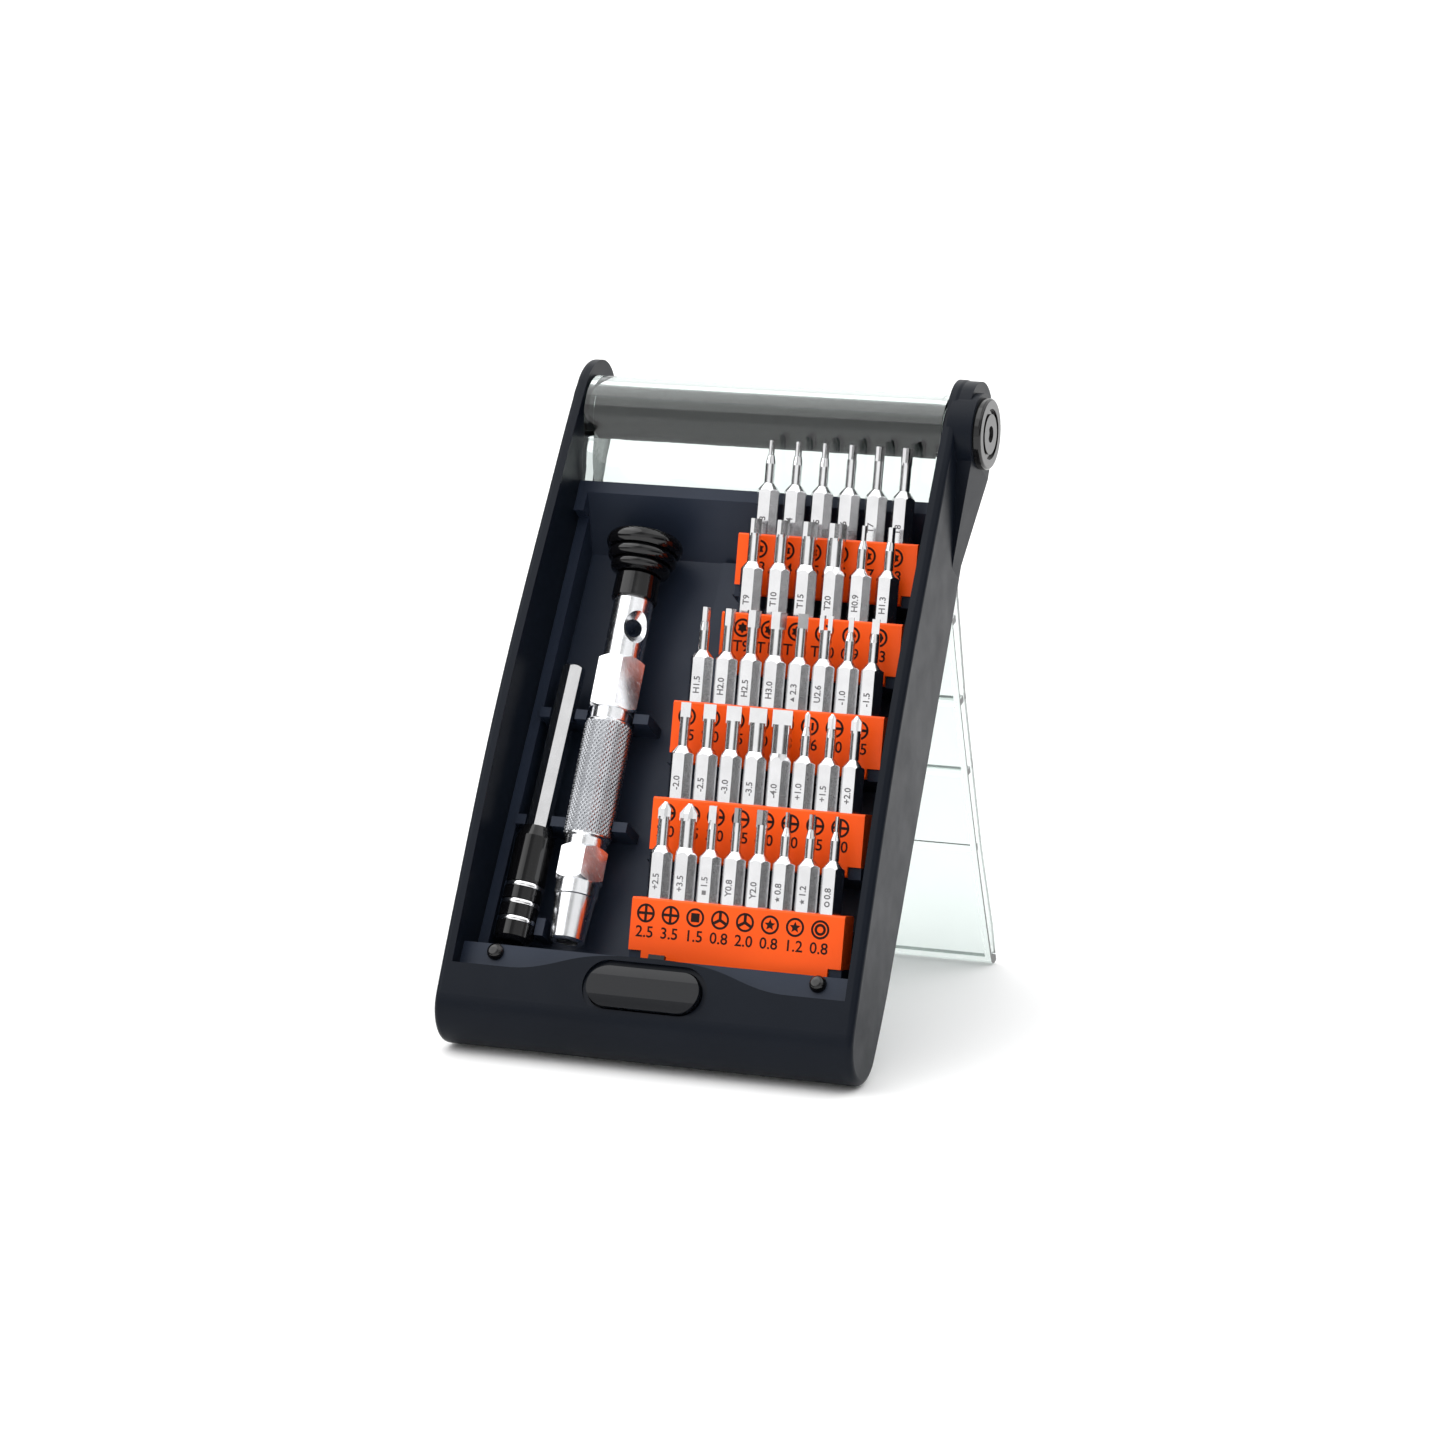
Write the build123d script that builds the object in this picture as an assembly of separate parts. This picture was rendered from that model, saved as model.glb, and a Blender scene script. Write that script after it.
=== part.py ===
from build123d import *
import math
import os

# Precision screwdriver set in an easel case.
# Everything is drawn in the case's own frame first: X across the case, Y up its length from
# the foot to the hinge, Z out of its open face. At the end PLACE leans the case back on its
# foot and puts the origin on the table, in the middle of the footprint.

# ---------------------------------------------------------------- driving sizes (mm, degrees)
LEAN = 33.25            # the case leans this far back from vertical
SWING = 48.4            # angle from the closed to the standing cover, measured the short way
HALF_FOOT = 42.0        # half width of the case at the foot
TAPER = 0.017           # half width lost per mm of length

RAIL = 2.4              # rail thickness
RAIL_ROUND = 1.2        # rounding of the rail's outer edges
FOOT_Y, FOOT_Z, FOOT_R = 11.5, -2.9, 8.0        # round foot end of the side profile
HEAD_Y, HEAD_Z, HEAD_R = 136.6, -1.1, 8.4       # round hinge end of the side profile
BACK_Z, BACK_END_Y = -12.0, 88.0        # flat back, and where it starts to curve toward the head

HINGE_Y, HINGE_Z = 134.0, 0.3
ROLL_R = 7.1            # outer radius of the cover's rolled end
BARREL_R = 5.2
RUN = 0.08              # running clearance of the cover on its hinge barrel
SIDE_GAP = 0.45         # gap between the cover and each rail
GAP = 0.3               # clearance between other moving pieces

BAY_Y0 = 22.0           # foot end of the tray cavity
BAY_Z = -10.0           # floor of the tray cavity
WALL = 2.1
WALL_TOP = -4.0
LEDGE_Y, LEDGE_Z = 16.7, 2.3
HEAD_OUT = 120.0        # slanted head wall, outer face: y - z is this
HEAD_IN = 117.6         # slanted head wall, inner face
HEAD_TOP = -0.6

ROW_TOP_Y = (109.0, 92.5, 73.6, 53.9, 33.7)     # top front edge of each bit strip, hinge end first
ROW_TOP_Z = 3.3
ROW_TILT = 19.5
STRIP_H, STRIP_T = 12.0, 5.4
STRIP_RIGHT = 35.4
STRIP_LEFT = (-1.0, -1.0, -7.0, -7.0, -7.0)
NOTCH_W, NOTCH_H = 2.6, 2.0

BIT_AF = 4.0            # standard 4 mm precision bit
BIT_LENGTH = 28.0
BIT_DEPTH = 9.7         # length of bit inside its socket
SOCKET_AF = 4.1
FIRST_BIT = (4.4, 4.4, 4.1, 4.1, 4.1)
BIT_PITCH = (5.5, 5.5, 4.9, 4.9, 4.9)

TOOL_TILT = 1.4
HANDLE_X, HANDLE_Y, HANDLE_Z = -21.2, 25.6, -4.0
SHANK_X, SHANK_Y, SHANK_Z = -32.4, 24.6, -4.3
HANDLE_YAW, SHANK_YAW = -0.4, 1.2       # turned in the tray so that their hinge ends come nearer

BUTTON_Y, BUTTON_W, BUTTON_H = 14.95, 22.4, 8.0
CROWN_R = 9.5           # the button is crowned along its length
PRESS = 1.6             # travel of the button and of the latch slide
BUMP_RISE, BUMP_HALF = 4.3, 28.0

COVER_Y = 19.0          # free end of the closed cover
COVER_T = 1.7
SKIRT_T = 1.6
RIB_Y = (46.9, 64.3, 80.0, 97.5)
RIB_LOW = 7.3           # lower edge of the ribs, clear of the tallest bits


def half_width(y):
    return HALF_FOOT - TAPER * y


# ---------------------------------------------------------------- helpers
def side_prism(face, x0=-60.0, x1=60.0):
    """A face drawn in (Y, Z), extruded along X from x0 to x1."""
    return Pos(x0, 0, 0) * extrude(Plane.YZ * face, amount=x1 - x0, dir=(1, 0, 0))


def side_polygon(points, x0=-60.0, x1=60.0):
    return side_prism(make_face(Polyline(*points, close=True)), x0, x1)


def plan(inset, y0, y1, z0=-30.0, z1=30.0):
    """The case's tapered plan between y0 and y1, drawn in from its sides by inset."""
    a = half_width(y0) - inset
    b = half_width(y1) - inset
    outline = Polyline((-a, y0), (a, y0), (b, y1), (-b, y1), close=True)
    return Pos(0, 0, z0) * extrude(make_face(outline), amount=z1 - z0)


def block(x0, x1, y0, y1, z0, z1):
    return Pos((x0 + x1) / 2, (y0 + y1) / 2, (z0 + z1) / 2) * Box(x1 - x0, y1 - y0, z1 - z0)


def bar_x(radius, x0, x1, y=HINGE_Y, z=HINGE_Z):
    """A round bar along X, on the hinge axis unless told otherwise."""
    return Pos((x0 + x1) / 2, y, z) * Rot(0, 90, 0) * Cylinder(radius, x1 - x0)


def on_arc(cy, cz, r, degrees):
    a = math.radians(degrees)
    return (cy + r * math.cos(a), cz + r * math.sin(a))


def cylinder_up(radius, height):
    """A cylinder standing on the origin."""
    return Cylinder(radius, height, align=(Align.CENTER, Align.CENTER, Align.MIN))


def mirrored(solid):
    return mirror(solid, about=Plane.YZ)


def pair(solid):
    return Compound(children=[solid, mirrored(solid)])


def turned(stations):
    """A solid of revolution about Z from (radius, z) stations."""
    points = [(0, stations[0][1])] + list(stations) + [(0, stations[-1][1])]
    return revolve(Plane.XZ * make_face(Polyline(*points, close=True)), axis=Axis.Z)


def hex_prism(af, z0, z1, turn=0.0):
    """A hexagonal prism along Z, with corners facing +X and -X before it is turned."""
    outline = RegularPolygon(af / 2, 6, major_radius=False, rotation=turn)
    return Pos(0, 0, z0) * extrude(outline, amount=z1 - z0)


def slot_prism(width, height, z0, z1):
    """An upright round-ended slot across the foot bar, centred on the button."""
    return Pos(0, BUTTON_Y, z0) * extrude(SlotOverall(width, height), amount=z1 - z0)


# ---------------------------------------------------------------- case shell
def side_profile():
    """Side outline of the case: round foot, bowed front, round head, flat back."""
    lean_out = 7.0
    foot_front = on_arc(FOOT_Y, FOOT_Z, FOOT_R, 90 + lean_out)
    foot_back = on_arc(FOOT_Y, FOOT_Z, FOOT_R, -90 - lean_out)
    head_front = on_arc(HEAD_Y, HEAD_Z, HEAD_R, 90 - lean_out)
    head_back = on_arc(HEAD_Y, HEAD_Z, HEAD_R, lean_out - 90)
    along, out = math.cos(math.radians(lean_out)), math.sin(math.radians(lean_out))
    flat0, flat1 = (28.0, BACK_Z), (BACK_END_Y, BACK_Z)
    return make_face(
        [
            ThreePointArc(foot_back, (FOOT_Y - FOOT_R, FOOT_Z), foot_front),
            Spline([foot_front, (31, 7.0), (60, 9.2), (88, 9.5), (116, 8.5), head_front],
                   tangents=[(along, out), (along, -out)]),
            ThreePointArc(head_front, (HEAD_Y + HEAD_R, HEAD_Z), head_back),
            Spline([head_back, flat1], tangents=[(-along, -out), (-1, 0)]),
            Line(flat1, flat0),
            Spline([flat0, foot_back], tangents=[(-1, 0), (-along, out)]),
        ]
    )


BOSS_R, BOSS_X, CAP_X = 7.8, 43.0, 44.6
BOSS_X0 = 38.0          # the boss starts inside the rail
BOSS_HEAD_R, BOSS_HEAD_X = 8.2, 41.6    # lower step of the boss, round the rail's head
BOSS_TAIL_Y = 108.0
CAP_R = 6.9
FLUSH_SEAT_X, FLUSH_CAP_X = 38.6, 39.55         # floor of the left cap's seat, and the cap's face


def plain_rail():
    """Right-hand rail without its boss: bowed plate with rounded outer edges."""
    body = side_prism(side_profile(), 30, 50) & (plan(0, -5, 150) - plan(RAIL, -6, 151))
    outer = body.faces().sort_by(Axis.X)[-1]
    return fillet(outer.edges(), RAIL_ROUND)


def left_rail():
    """Left-hand rail, with a round seat sunk in its outer face for a flush cap."""
    return mirrored(plain_rail()) - bar_x(CAP_R, -50, -FLUSH_SEAT_X)


def right_rail():
    """Right-hand rail, with a boss over its head that fades down the side."""
    tail = side_polygon([(HINGE_Y + 2, HINGE_Z + 7.3), (BOSS_TAIL_Y, -5.2), (BOSS_TAIL_Y, -9.6),
                         (HINGE_Y, HINGE_Z - 7.7)], BOSS_X0, 50)
    near, far = half_width(HINGE_Y), half_width(BOSS_TAIL_Y)
    wedge = extrude(
        make_face(Polyline((near - 2, 150), (BOSS_X, 150), (BOSS_X, HINGE_Y - 6), (far, BOSS_TAIL_Y),
                           (far - 2, BOSS_TAIL_Y), close=True)),
        amount=60,
    )
    boss = (bar_x(BOSS_R, BOSS_X0, 50) + tail) & (Pos(0, 0, -30) * wedge)
    return plain_rail() + boss + bar_x(BOSS_HEAD_R, BOSS_X0, BOSS_HEAD_X, HEAD_Y, HEAD_Z)


def hinge_caps():
    """Round cap on the right boss, with a groove round its hub, and a flush cap on the left."""
    return Compound(children=[proud_cap(), bar_x(CAP_R - 0.05, -FLUSH_CAP_X, -FLUSH_SEAT_X)])


def proud_cap():
    """Cap that stands proud of the right boss."""
    cap = bar_x(CAP_R, BOSS_X, CAP_X)
    cap = fillet(cap.faces().sort_by(Axis.X)[-1].edges(), 0.5)
    groove = bar_x(4.9, CAP_X - 0.5, CAP_X + 1) - bar_x(3.9, CAP_X - 0.6, CAP_X + 1)
    return cap - groove - bar_x(1.6, CAP_X - 0.4, CAP_X + 1)


def hinge_barrel():
    reach = half_width(HINGE_Y + BARREL_R) - RAIL - 0.02
    return bar_x(BARREL_R, -reach, reach)


# ---------------------------------------------------------------- tray
CRADLE_Y = (49.2, 71.2)         # middle of each cross bar that carries the tools
CRADLE_T = 2.0
POST_TOP = 0.5                  # posts stand this far above the tools' axes


def along_tool(x0, y0, z0, yaw, y):
    """(x, z) of a tool's axis at y: the tools lie with their hinge ends raised."""
    x = x0 + (y - y0) * math.tan(math.radians(yaw))
    z = z0 + (y - y0) * math.tan(math.radians(TOOL_TILT))
    return x, z


def cradle(y):
    """Cross bar on the tray floor with open-topped slots for the shank and the handle."""
    left = 0.05 - (half_width(y) - RAIL - WALL)
    handle_x, handle_z = along_tool(HANDLE_X, HANDLE_Y, HANDLE_Z, HANDLE_YAW, y)
    shank_x, shank_z = along_tool(SHANK_X, SHANK_Y, SHANK_Z, SHANK_YAW, y)
    y0, y1 = y - CRADLE_T / 2, y + CRADLE_T / 2
    bar = block(left, -13.6, y0, y1, BAY_Z - 0.5, handle_z + POST_TOP)
    for x, z, r in ((handle_x, handle_z, 4.85), (shank_x, shank_z, 2.65)):
        bar -= Pos(x, y, z) * Rot(90, 0, 0) * Cylinder(r, 2 * CRADLE_T)
        bar -= block(x - r, x + r, y0 - 1, y1 + 1, z, 10)
    return bar - block(-40, shank_x, y0 - 1, y1 + 1, shank_z + POST_TOP, 10)


def tray():
    """Tub between the rails: ledge at the foot, slanted head wall, cradles for the tools."""
    body = side_prism(side_profile()) & plan(RAIL, LEDGE_Y, 130)
    body -= side_polygon([(HEAD_OUT - 20, -20), (HEAD_OUT + 20, 20), (160, 20), (160, -20)])
    body -= block(-50, 50, 10, 150, LEDGE_Z, 30)
    body -= block(-50, 50, BAY_Y0, 113, WALL_TOP, 30)
    body -= block(-50, 50, 112, 150, HEAD_TOP, 30)
    cavity = side_polygon([(BAY_Y0, BAY_Z), (HEAD_IN + BAY_Z, BAY_Z), (HEAD_IN + 20, 20), (BAY_Y0, 20)])
    body -= cavity & plan(RAIL + WALL, 10, 140)
    body -= latch_channel() + block(-TONGUE_X - 1, TONGUE_X + 1, CATCH_Y - GAP, 30, TONGUE_Z - GAP, 30)
    for y in CRADLE_Y:
        body += cradle(y)
    return body + block(-28.3, -26.5, 26.5, 30.0, BAY_Z - 0.5, -4.2)


# ---------------------------------------------------------------- foot bar and latch
SLIDE_X, NOSE_X = 4.0, 1.6
SLIDE_Z0, SLIDE_Z1 = 1.9, 2.9
SLIDE_Y0 = 8.6
CATCH_Y = 21.5                  # foot-side face of the cover's catch
NOSE_Y = 22.8
TONGUE_X, TONGUE_Z = 2.9, 0.6
RAMP = 16.4                     # the button's ramp is the line y + z = RAMP
RAMP_GAP = 0.2
FOOT_X = 1.5


def seam_region(offset, z0=-30.0, z1=30.0):
    """All that lies on the foot side of the seam, which rises in a smooth bump over the button."""
    y = LEDGE_Y + offset
    line = Spline([(-BUMP_HALF, y), (-14.0, y + 0.72 * BUMP_RISE), (0, y + BUMP_RISE),
                   (14.0, y + 0.72 * BUMP_RISE), (BUMP_HALF, y)], tangents=[(1, 0), (1, 0)])
    rest = Polyline((BUMP_HALF, y), (60, y), (60, -20), (-60, -20), (-60, y), (-BUMP_HALF, y))
    return Pos(0, 0, z0) * extrude(make_face([line, rest]), amount=z1 - z0)


def latch_channel():
    """Room for the latch slide and for the foot of the button."""
    slide = block(-SLIDE_X - GAP, SLIDE_X + GAP, SLIDE_Y0 - PRESS - GAP, 30, SLIDE_Z0 - GAP, SLIDE_Z1 + GAP)
    foot = block(-FOOT_X - GAP, FOOT_X + GAP, 13.0, 16.4, -0.9, SLIDE_Z0)
    return slide + foot


def foot_bar():
    body = side_prism(side_profile()) & plan(RAIL, -5, 30)
    body &= block(-60, 60, -5, LEDGE_Y, -30, 30) + seam_region(0, LEDGE_Z, 30)
    body -= slot_prism(BUTTON_W + 2 * GAP, BUTTON_H + 2 * GAP, SLIDE_Z1 + 0.2, 20)
    body -= slot_prism(BUTTON_W + 2.4, BUTTON_H + 2.2, 5.1, 20)
    return body - latch_channel()


def latch_button():
    """Oval push button with a 45 degree foot that draws the latch slide back."""
    under = SLIDE_Z1 + GAP + PRESS + 0.1
    dome = slot_prism(BUTTON_W, BUTTON_H, under, 6.7)
    dome &= bar_x(CROWN_R, -20, 20, BUTTON_Y, 6.9 - CROWN_R)
    left, right, low = 12.3, 16.0, 1.1
    foot = side_polygon([(left, under + 0.2), (left, RAMP - left), (RAMP - low, low), (right, low),
                         (right, under + 0.2)], -FOOT_X, FOOT_X)
    return dome + foot


def latch_slide():
    """Flat slide whose nose holds the cover's catch down."""
    body = block(-SLIDE_X, SLIDE_X, SLIDE_Y0, 20.6, SLIDE_Z0, SLIDE_Z1)
    body += block(-NOSE_X, NOSE_X, 20.5, NOSE_Y, SLIDE_Z0, SLIDE_Z1)
    edge = RAMP - RAMP_GAP
    right = 16.0 + PRESS + GAP
    slot = side_polygon([(edge - 4, 4), (edge - 0.5, 0.5), (right, 0.5), (right, 4)],
                        -FOOT_X - GAP, FOOT_X + GAP)
    return body - slot


BUMPER_X, BUMPER_Y = 32.4, 20.4


def bumper():
    """Round-topped rubber stud on the ledge, where the cover's end comes to rest."""
    stud = cylinder_up(1.65, 1.3)
    stud = fillet(stud.faces().sort_by(Axis.Z)[-1].edges(), 1.1)
    return Pos(BUMPER_X, BUMPER_Y, LEDGE_Z) * stud


# ---------------------------------------------------------------- cover
WALL_FOOT_Z = LEDGE_Z + 1.3 + GAP       # underside of the cover's end, clear of the bumpers
TOE_R = 2.2                             # rounding of the cover's free edge, which stands on the table
SHOULDER_Y = 126.5


def cover_lines(inset, foot_y=COVER_Y):
    """Side outline of the closed cover: bowed panel, shoulder, rolled end round the barrel."""
    foot = (foot_y, 6.9 - inset)
    shoulder = (SHOULDER_Y, 9.7 - inset)
    roll_r = ROLL_R - inset
    start, end = (HINGE_Y, HINGE_Z + roll_r), (HINGE_Y, HINGE_Z - roll_r)
    return [
        ThreePointArc(foot, (80.0, 10.9 - inset), shoulder),
        Spline([shoulder, start], tangents=[(1, -0.06), (1, 0)]),
        ThreePointArc(start, (HINGE_Y + roll_r, HINGE_Z), end),
    ]


def cover_blank():
    """The cover's outside as one solid: panel, skirts down to their lower edge, round cheeks."""
    lines = cover_lines(0)
    end, foot = lines[2] @ 1, lines[0] @ 0
    low = [(HINGE_Y - 6.0, HINGE_Z - 3.0), (121.0, 3.6), (105.0, 5.6), (80.0, 7.0), (46.0, 6.0),
           (27.0, WALL_FOOT_Z), (COVER_Y, WALL_FOOT_Z)]
    edge = Polyline((end.X, end.Y), (HINGE_Y, HINGE_Z), *low, (foot.X, foot.Y))
    blank = side_prism(make_face(lines + [edge])) + bar_x(ROLL_R - 0.05, -60, 60)
    return blank & plan(RAIL + SIDE_GAP, COVER_Y - 1, 150)


def cover_hollow():
    """What is cut from the blank: the room under the panel, less the end wall and the ribs."""
    lines = cover_lines(COVER_T, COVER_Y + COVER_T)
    end, foot = lines[2] @ 1, lines[0] @ 0
    deep = -20.0
    edge = Polyline((end.X, end.Y), (end.X, deep), (foot.X, deep), (foot.X, foot.Y))
    hollow = side_prism(make_face(lines + [edge])) & plan(RAIL + SIDE_GAP + SKIRT_T, COVER_Y, 160)
    hollow -= seam_region(GAP + COVER_T)
    for y in RIB_Y:
        hollow -= block(-60, 60, y - 0.7, y + 0.7, RIB_LOW, 30)
    return hollow


def cover():
    """Clear cover, drawn closed."""
    body = cover_blank() - cover_hollow()
    toe_y, toe_z = COVER_Y + TOE_R, 7.05 - TOE_R
    body -= block(-60, 60, COVER_Y - 2, toe_y, toe_z, 20) - bar_x(TOE_R, -61, 61, toe_y, toe_z)
    body -= seam_region(GAP)
    body += block(-TONGUE_X, TONGUE_X, CATCH_Y, CATCH_Y + 1.4, TONGUE_Z, 6.2)
    body -= block(-NOSE_X - GAP, NOSE_X + GAP, CATCH_Y - 1, CATCH_Y + 3, SLIDE_Z0 - GAP, SLIDE_Z1 + GAP)
    return body - bar_x(BARREL_R + RUN, -60, 60)


# ---------------------------------------------------------------- bit rack and strips
def row_point(row, along, out):
    """(y, z) of a point on a strip: along its height from the top edge, out from its front face."""
    c, s = math.cos(math.radians(ROW_TILT)), math.sin(math.radians(ROW_TILT))
    return (ROW_TOP_Y[row] + along * c - out * s, ROW_TOP_Z + along * s + out * c)


def row_plane(row, x, along, out):
    """Plane on a strip, with Z along the bits and X across the case."""
    c, s = math.cos(math.radians(ROW_TILT)), math.sin(math.radians(ROW_TILT))
    y, z = row_point(row, along, out)
    return Plane(origin=(x, y, z), x_dir=(1, 0, 0), z_dir=(0, c, s))


def row_polygon(row, points, x0, x1):
    return side_polygon([row_point(row, a, o) for a, o in points], x0, x1)


def bit_x(row, i):
    return STRIP_LEFT[row] + FIRST_BIT[row] + BIT_PITCH[row] * i


def bit_strip(row, count):
    """Moulded strip with a row of hexagonal blind sockets and a notch at each lower corner."""
    left = STRIP_LEFT[row]
    body = row_polygon(row, [(0, 0), (0, -STRIP_T), (-STRIP_H, -STRIP_T), (-STRIP_H, 0)], left, STRIP_RIGHT)
    body = chamfer(body.edges().filter_by(Axis.X), 0.35)
    for x0, x1 in ((left - 1, left + NOTCH_W), (STRIP_RIGHT - NOTCH_W, STRIP_RIGHT + 1)):
        body -= row_polygon(row, [(-STRIP_H - 1, 1), (-STRIP_H - 1, -7), (NOTCH_H - STRIP_H, -7),
                                  (NOTCH_H - STRIP_H, 1)], x0, x1)
    socket = hex_prism(SOCKET_AF, 0, 20)
    for i in range(count):
        body -= row_plane(row, bit_x(row, i), -BIT_DEPTH - 0.1, -STRIP_T / 2).location * socket
    return body


def bit_rack():
    """Floor plate with a beam under each strip and a clip block in each notch."""
    plate_top, right = BAY_Z + 1.5, half_width(107.0) - RAIL - WALL - 0.3
    body = block(-7.6, right, BAY_Y0 + 0.5, 107.2, BAY_Z, plate_top)
    for row, left in enumerate(STRIP_LEFT):
        start, end = row_point(row, -STRIP_H, -0.6), row_point(row, -3, -7.0)
        beam = [start, row_point(row, -STRIP_H, -STRIP_T), row_point(row, -3, -STRIP_T), end,
                (end[0], plate_top - 0.5), (start[0], plate_top - 0.5)]
        body += side_polygon(beam, left - 0.6, STRIP_RIGHT)
        for x0, x1 in ((left, left + NOTCH_W - 0.1), (STRIP_RIGHT - NOTCH_W + 0.1, STRIP_RIGHT)):
            clip = [(-STRIP_H - 0.3, -0.5), (-STRIP_H - 0.3, -STRIP_T - 0.3),
                    (NOTCH_H - 0.1 - STRIP_H, -STRIP_T - 0.3), (NOTCH_H - 0.1 - STRIP_H, -0.5)]
            body += row_polygon(row, clip, x0, x1)
    return body


# ---------------------------------------------------------------- bits
def star(points, outer, inner):
    """Lobed star outline for Torx-like and pentalobe tips."""
    corners = []
    for i in range(2 * points):
        r = outer if i % 2 == 0 else inner
        a = math.pi * i / points
        corners.append((r * math.cos(a), r * math.sin(a)))
    return make_face(Polyline(*corners, close=True))


def tip_outline(kind, size):
    """Cross-section of a bit's working end. size is across the tip."""
    r = size / 2
    if kind == "torx":
        return star(6, r, 0.74 * r)
    if kind == "pentalobe":
        return star(5, r, 0.66 * r)
    if kind == "hex":
        return RegularPolygon(r, 6, major_radius=False)
    if kind == "square":
        return Rectangle(size, size)
    if kind == "triangle":
        return RegularPolygon(r, 3)
    if kind == "round":
        return Circle(r)
    if kind == "slot":
        return Rectangle(size, max(0.28, 0.18 * size))
    if kind == "wing":
        arms = [Rot(0, 0, 90 + 120 * i) * Pos(r / 2, 0) * Rectangle(r, 0.3 * r) for i in range(3)]
        return arms[0] + arms[1] + arms[2]
    if kind == "fork":
        prong = Rectangle(0.34 * size, 0.42 * size)
        return Pos(-0.33 * size, 0) * prong + Pos(0.33 * size, 0) * prong
    return Rectangle(size, 0.26 * size) + Rectangle(0.26 * size, size)


HEX_END, CONE_END, NECK_END = 18.1, 19.7, 23.5


def bit(kind, size):
    """4 mm hexagonal bit, standing on Z = 0, with a turned neck and its working tip."""
    neck = max(1.0, min(2.0, 0.46 * size))
    tip = min(neck, max(0.45, 0.58 * size))
    corner = BIT_AF / math.sqrt(3)
    blank = hex_prism(BIT_AF, 0, 22)
    blank &= turned([(corner - 0.35, 0), (corner + 0.01, 0.35), (corner + 0.01, HEX_END),
                     (neck, CONE_END), (neck, 22.0)])
    blank += turned([(neck, 21), (neck, NECK_END), (tip, NECK_END + 1.6), (tip, NECK_END + 1.7)])
    start = NECK_END + 1.2
    if kind == "cross":
        cone = turned([(0.5 * size + 0.05, start), (0.5 * size + 0.05, BIT_LENGTH - 0.55 * size),
                       (0.12 * size, BIT_LENGTH)])
    elif kind == "slot":
        cone = Pos(0, 0, start) * extrude(Rectangle(2 * size, 2.0), amount=BIT_LENGTH - start)
    else:
        cone = turned([(size, start), (size, BIT_LENGTH - 0.1 * size), (0.9 * size / 2, BIT_LENGTH)])
    blade = Pos(0, 0, start) * extrude(tip_outline(kind, size), amount=BIT_LENGTH - start)
    return blank + (blade & cone)


# hinge end first; each entry is (name, kind, size across the tip)
ROWS = (
    (("torx_t3", "torx", 1.17), ("torx_t4", "torx", 1.35), ("torx_t5", "torx", 1.42),
     ("torx_t6", "torx", 1.70), ("torx_t7", "torx", 1.99), ("torx_t8", "torx", 2.31)),
    (("torx_t9", "torx", 2.50), ("torx_t10", "torx", 2.74), ("torx_t15", "torx", 3.27),
     ("torx_t20", "torx", 3.86), ("hex_0_9", "hex", 0.9), ("hex_1_3", "hex", 1.3)),
    (("hex_1_5", "hex", 1.5), ("hex_2_0", "hex", 2.0), ("hex_2_5", "hex", 2.5), ("hex_3_0", "hex", 3.0),
     ("triangle_2_3", "triangle", 2.3), ("fork_2_6", "fork", 2.6),
     ("slot_1_0", "slot", 1.0), ("slot_1_5", "slot", 1.5)),
    (("slot_2_0", "slot", 2.0), ("slot_2_5", "slot", 2.5), ("slot_3_0", "slot", 3.0),
     ("slot_3_5", "slot", 3.5), ("slot_4_0", "slot", 4.0), ("cross_1_0", "cross", 1.0),
     ("cross_1_5", "cross", 1.5), ("cross_2_0", "cross", 2.0)),
    (("cross_2_5", "cross", 2.5), ("cross_3_5", "cross", 3.5), ("square_1_5", "square", 1.5),
     ("wing_0_8", "wing", 1.6), ("wing_2_0", "wing", 2.4), ("star_0_8", "pentalobe", 0.8),
     ("star_1_2", "pentalobe", 1.2), ("round_0_8", "round", 0.8)),
)


# ---------------------------------------------------------------- handle and extension
NOZZLE_END, GRIP_START, KNURL_START, KNURL_END = 11.7, 18.6, 20.4, 44.5
HEX_START, TUBE_START, NECK_START, CAP_START = 46.7, 57.2, 69.6, 74.9
GRIP_AF = 9.0
GRIP_TURN = -8.0
SHANK_TURN = 30.0       # flats of the shank and its sleeve's sockets face across the case
TUBE_R = 3.9
CROSS_HOLE, CROSS_R = 63.6, 1.8
CROSS_TURN = 45.0       # the cross hole's front mouth is turned this far toward the bits
SINK_DEPTH = 2.0        # countersink at that mouth
PIN_R = 1.5
SPIGOT_R, SPIGOT_L = 2.4, 3.6       # collar's spigot inside the tube


def tool_seat(x, y, z, yaw):
    """Places a tool drawn along Z in the tray, its Z toward the hinge."""
    return Pos(x, y, z) * Rot(0, 0, -yaw) * Rot(TOOL_TILT - 90, 0, 0)


def chamfered_hex(z0, z1):
    """Hexagonal grip with its corners turned down at both ends."""
    corner = GRIP_AF / math.sqrt(3)
    prism = hex_prism(GRIP_AF, z0, z1, GRIP_TURN)
    return prism & turned([(corner - 0.7, z0), (corner + 0.1, z0 + 0.8), (corner + 0.1, z1 - 0.8),
                           (corner - 0.7, z1)])


def handle_nozzle():
    body = turned([(3.0, 0), (3.35, 0.4), (3.95, 8.8), (4.2, 9.0), (4.2, NOZZLE_END)])
    body += Pos(0, 0, NOZZLE_END) * cylinder_up(SPIGOT_R, 5.0)
    return body - hex_prism(SOCKET_AF, -1, 11.0)


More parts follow.
